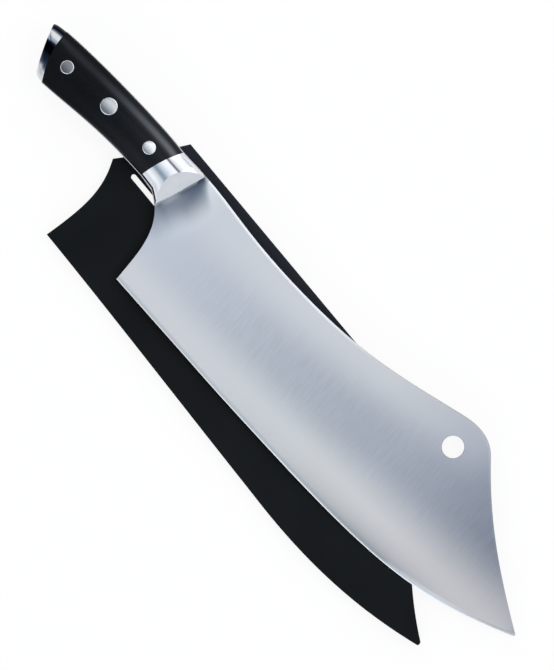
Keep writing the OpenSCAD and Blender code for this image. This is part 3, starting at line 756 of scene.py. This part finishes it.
# ribs closer together towards the butt
cap_s = np.linspace(0, 1, 33) ** crowding
low_x = mix(belly_from * handle_len, handle_low(0.0)[0], cap_s)
high_x = mix(-handle_len, -handle_len + cap_top, cap_s)
cap_low = np.stack([low_x, np.minimum.accumulate(height_on(handle_bottom_line, low_x)) + set_back], -1)
cap_top_y = height_on(handle_top_line, high_x) - set_back - butt_top_share * cap_ease(cap_s)
cap_high = np.stack([high_x, cap_top_y], -1)
turn = np.linspace(0, math.pi, 65)
cap_plan = across(cap_low[:, None], cap_high[:, None], np.tile((1 - np.cos(turn)) / 2, (len(cap_s), 1)),
                  mix(butt_bow, seam_bow, cap_s)[:, None])
cap_arch = arch(turn, (cap_w / 2 - cap_ease(cap_s))[:, None])
top = np.concatenate([cap_plan, cap_arch[..., None]], -1)
cap_points, cap_faces = closed_slab(top, top * [1, 1, -1])
# painted reflections across the cap: white along the belly, black through the middle, a white band high on it
# and dark at the back, with bluish darks between
cap_polish_painted_reflections = polished_steel(
    "polished_steel_painted_reflections",
    (0, (.98, .98, .98)), (.09, (.86, .83, .82)), (.14, (.60, .58, .59)), (.175, (.20, .22, .25)),
    (.21, (.058, .070, .105)), (.29, (.034, .045, .072)), (.35, (.014, .019, .032)),
    (.42, (.002, .002, .003)), (.57, (.001, .001, .002)), (.61, (.014, .020, .036)), (.65, (.5, .6, .75)),
    (.69, (.60, .61, .65)), (.74, (.95, .95, .96)), (.81, (.76, .77, .79)), (.85, (.11, .125, .165)),
    (.89, (.003, .004, .008)), (.97, (.02, .025, .036)))
carry_share(make_piece("handle_end_cap", knife_place(cap_points), cap_faces, cap_polish_painted_reflections,
                       "knife", ["end_cap"], sharp=40))

# The sheath is a flat sleeve of matte black plastic: two face plates with a spacer strip between them
# along the edge, the front and the back. It is open at the rear, and a narrow slot runs through it.
plate_t, pocket_t, welt_w = 2.0, 4.6, 1.0
slot_w, slot_len, slot_turn = 3.1, 40.0, math.radians(-1.7)
spare_len, spare_h, sheath_origin = 12.1, 10.0, (.1038, .7886)
sheath_len, sheath_h = blade_len + spare_len, edge_drop + hump_rise + spare_h


def on_sheath(shares):
    """Shares of the sheath's length and height as places."""
    return (np.array(shares) - sheath_origin) * [sheath_len, sheath_h]


def sheath_plastic():
    """Moulded near-black plastic with a fine even grain, greyer along the straight back towards the rear."""
    material, shader, add, place = nodes_of("sheath_plastic")
    grain = noise(add, place, 3800.0, 2.0)
    tone = ramp(add, noise(add, place, 22.0, 4.0),
                (0.3, (0.0055, 0.0068, 0.0075)), (0.7, (0.0085, 0.0100, 0.0110)))
    part = add("SeparateXYZ", place).outputs
    at_back = ranged(add, part["Y"], 0, 1, -0.005, 0.02, interpolation_type="SMOOTHSTEP")
    to_rear = ranged(add, part["X"], 0, 1, 0.17, 0.09, interpolation_type="SMOOTHSTEP")
    tone = blend(add, times(add, at_back, to_rear), tone, (0.018, 0.0215, 0.028, 1))
    feed(shader, Base_Color=tone, Roughness=ranged(add, grain, 0.50, 0.62), Specular_IOR_Level=0.05,
         Normal=bumps(add, grain, 0.15, 0.00003))
    return material


edge_path = curves(on_sheath([[0, .105], [.183, .084], [.404, .041], [.596, .012]]),
                   on_sheath([[.596, .012], [.7557, -.0207], [.8786, .0213], [1.0019, .133]]))
front_path = np.vstack([
    on_sheath([[1.0036, .1415]]),
    curves(on_sheath([[1.0021, .1565], [.933, .266], [.831, .475], [.774, .781]]),
           on_sheath([[.774, .781], [.756, .865], [.737, .924], [.695, .930]]))])
throat = on_sheath([[.0503, .985], [.0411, .936], [-.013, .674]])
heel_path = curves(on_sheath([[-.0234, .629], [.0073, .484], [.0089, .364], [0, .105]]))

# ribs across the plate: first along the open rear, then from the edge to the back and the front
rear_share = np.linspace(0, 1, 31)
rest_share = np.linspace(0, 1, 221)[1:]
plate_low = np.vstack([along(heel_path, rear_share), along(edge_path, rest_share)])
back_path = np.vstack([throat[:1], front_path[::-1]])
rear_part = .06
plate_high = along(back_path, np.concatenate([rear_share * rear_part, mix(rear_part, 1, rest_share)]))
rib_w = np.linspace(0, 1, 61)
plan = across(plate_low[:, None], plate_high[:, None], np.tile(rib_w, (len(plate_low), 1)), 0.0)
plan[0] = along(np.vstack([heel_path[:1], throat[::-1]]), rib_w)
rows, cols = plan.shape[:2]
a = np.arange(rows * cols).reshape(rows, cols)
b = a + rows * cols
slot_rear = on_sheath([[.021, .648]])[0]
slot_dir = np.array([math.cos(slot_turn), math.sin(slot_turn)])
slot_ends = slot_rear + slot_dir * slot_w / 2, slot_rear + slot_dir * (slot_len - slot_w / 2)
# round the slot a block of the net is left out, and rings join it to the rim on both faces
slot_margin, half_way, plate_ease = 1.2, .6, .35
i0, i1, j0, j1 = block_near(plan, *slot_ends, slot_w / 2 + slot_margin)
keep = np.ones((rows - 1, cols - 1), bool)
keep[i0:i1, j0:j1] = False
start = ring_round(a, i0, i1, j0, j1)
outer = plan.reshape(-1, 2)[start]
rim_xy = slot_points(outer, *slot_ends, slot_w / 2)
black = sheath_plastic()
for name, node, level in (("sheath_face_back", "sheath_back_plate", 0.0),
                          ("sheath_face_front", "sheath_front_plate", plate_t + pocket_t)):
    over = level + plate_t
    nets = [np.column_stack([plan.reshape(-1, 2), np.full(rows * cols, z)]) for z in (over, level)]
    rings = [np.column_stack([mix(outer, rim_xy, q), np.full(len(outer), z)])
             for q, z in ((half_way, over), (1, over), (1, level), (half_way, level))]
    faces = lining(start, rings, start + rows * cols, 2 * rows * cols) + [quads(a, keep), quads(b, keep)]
    outline = ring_round(a, 0, rows - 1, 0, cols - 1)
    faces.append(bridge(outline, outline + rows * cols))
    plate = make_piece(name, np.vstack(nets + rings) / 1000, faces, black,
                       "sheath", [node], sharp=40)
    eased = plate.modifiers.new("eased edges", "BEVEL")
    eased.width, eased.segments = plate_ease / 1000, 3
    eased.limit_method, eased.angle_limit = "ANGLE", math.radians(50)

# The spacer strip is a narrow band of the same plastic, welded between the plates on the closed sides:
# along the edge, round the front and up the back. It keeps the pocket open for the blade.
strip_path = np.vstack([edge_path, front_path, throat[:1]])
way = np.gradient(strip_path, axis=0)
way /= np.linalg.norm(way, axis=1, keepdims=True)
inner_path = strip_path + welt_w * np.stack([-way[:, 1], way[:, 0]], -1)
strip = np.stack([np.column_stack([p, np.full(len(p), z)]) for p, z in (
    (strip_path, plate_t), (strip_path, plate_t + pocket_t),
    (inner_path, plate_t + pocket_t), (inner_path, plate_t))], 1)
number = np.arange(len(strip) * 4).reshape(-1, 4)
make_piece("sheath_spacer_strip", strip.reshape(-1, 3) / 1000, tube(number), black,
           "sheath", ["sheath_welt"], sharp=35)

# The studio is a white floor that keeps a soft shadow, with broad lamps above and to the sides.
# It is not part of the object.
floor_mesh = bpy.data.meshes.new("studio_floor")
floor_half, floor_z = 6, -.0001
floor_corners = (-1, -1), (1, -1), (1, 1), (-1, 1)
floor_mesh.from_pydata([(x * floor_half, y * floor_half, floor_z) for x, y in floor_corners],
                       [], [(0, 1, 2, 3)])
floor = bpy.data.objects.new("studio_floor", floor_mesh)
bpy.context.scene.collection.objects.link(floor)
paper = bpy.data.materials.new("studio_paper")
paper.use_nodes = True
paper.node_tree.nodes.clear()
add = adder(paper.node_tree)
# nearly white by itself to the camera, partly so in reflections, and plain paper to all other light
seen, to_camera, to_mirrors = add("LightPath").outputs, .9, .42
by_itself = add("Math", times(add, seen["Is Camera Ray"], to_camera),
                times(add, seen["Is Glossy Ray"], to_mirrors), operation="MAXIMUM").outputs[0]
matte = add("BsdfDiffuse", Color=(.92, .92, .92, 1)).outputs[0]
glow = add("Emission", Color=(1, 1, 1, 1)).outputs[0]
add("OutputMaterial", add("MixShader", by_itself, matte, glow).outputs[0])
floor_mesh.materials.append(paper)


def lamp(name, place, aim, size, power):
    """A rectangular area lamp at a place, turned to shine at another."""
    data = bpy.data.lights.new(name, "AREA")
    data.energy, data.shape, data.size, data.size_y = power, "RECTANGLE", size[0], size[1]
    item = bpy.data.objects.new(name, data)
    bpy.context.scene.collection.objects.link(item)
    item.visible_glossy = False
    item.location = place
    reach = np.array(aim, float) - np.array(place, float)
    item.rotation_euler = Vector(reach).to_track_quat("-Z", "Y").to_euler()
    return item


lamp("softbox_over", (.30, .45, 1.5), (.1, 0, 0), (1.0, .7), 7)
lamp("softbox_side", (-1.1, .5, .8), (0, 0, 0), (.6, .9), 4)
lamp("softbox_front", (.6, -1.2, .8), (.1, 0, 0), (.9, .4), 3)

# What the steel and the handle mirror is a room: a grey ceiling with a broad dark beam on the edge's side
# and a narrow one on the spine's, a white lamp panel beyond that, and pale walls. It is brightest a little
# ahead of overhead, dims towards the tip and ends in a grey wall. All else sees an even pale sky.
world = bpy.data.worlds.new("studio_air")
bpy.context.scene.world = world
world.use_nodes = True
world.node_tree.nodes.clear()
add = adder(world.node_tree)
way_out = add("SeparateXYZ", add("TexCoord").outputs["Generated"]).outputs


def leaning(way):
    """The angle from overhead towards the spine's side, way Y, or towards the tip, way X."""
    return add("Math", way_out[way], way_out["Z"], operation="ARCTAN2").outputs[0]


def round_room(angle, *stops):
    """A ramp of colours round the room, each stop at its degrees from overhead."""
    share = ranged(add, angle, 0, 1, -math.pi, math.pi)
    return ramp(add, share, *(((degrees + 180) / 360, colour) for degrees, colour in stops))


crosswise = round_room(
    leaning("Y"),
    (-120, (.58, .59, .61)), (-85, (.66, .69, .72)), (-68, (.59, .62, .66)), (-57, (.81, .83, .86)),
    (-46, (.82, .84, .86)), (-38, (.67, .70, .74)), (-31, (.56, .61, .66)), (-25, (.32, .36, .41)),
    (-19, (.19, .24, .30)), (-13, (.33, .38, .44)), (-7, (.46, .52, .58)), (-2, (.57, .615, .67)),
    (2, (.66, .69, .73)), (8, (.72, .73, .75)), (13, (.77, .78, .80)), (17, (.66, .66, .69)),
    (19, (.11, .11, .13)), (23.5, (.11, .11, .13)), (25.5, (.50, .51, .54)), (30, (.62, .64, .66)),
    (37, (.77, .79, .80)), (47, (.87, .89, .89)), (60, (.87, .89, .90)), (70, (.80, .84, .88)),
    (84, (.46, .52, .63)), (92, (.55, .58, .64)), (115, (.33, .35, .40)))
pitch = leaning("X")
lengthwise = round_room(
    pitch, (-90, (.526,) * 3), (2.5, (.526,) * 3), (3.3, (1, 1, 1)), (25, (1, 1, 1)),
    (31, (.40, .41, .43)), (43, (.12, .13, .15)), (90, (.12, .13, .15)))
front_side = ranged(add, pitch, 0, 1, math.radians(50), math.radians(56), interpolation_type="SMOOTHSTEP")
walled = blend(add, front_side, blend(add, 1.0, crosswise, lengthwise, "MULTIPLY"), (.315, .325, .345, 1))
room_power, sky_power = 2.375, .7
mirrored = add("Background", Color=walled, Strength=room_power).outputs[0]
plain = add("Background", Color=(.94, .96, 1, 1), Strength=sky_power).outputs[0]
chosen = add("MixShader", add("LightPath").outputs["Is Glossy Ray"], plain, mirrored)
add("OutputWorld", chosen.outputs[0])

# The camera looks straight down, turned so that the handle lies at the upper left, through a long lens.
camera_data = bpy.data.cameras.new("camera")
sensor, seen_height, far_off, aim = 24.0, .38324, 4.0, (.0977, -.0139, .0125)
camera_data.sensor_fit, camera_data.sensor_height = "VERTICAL", sensor
camera_data.lens = far_off * sensor / seen_height
camera_data.clip_start, camera_data.clip_end = .05, 20
camera = bpy.data.objects.new("camera", camera_data)
bpy.context.scene.collection.objects.link(camera)
camera.location = (aim[0], aim[1], far_off + aim[2])
camera.rotation_euler = (0, 0, math.radians(48.5))
bpy.context.scene.camera = camera
bpy.context.scene.view_settings.view_transform = "Standard"
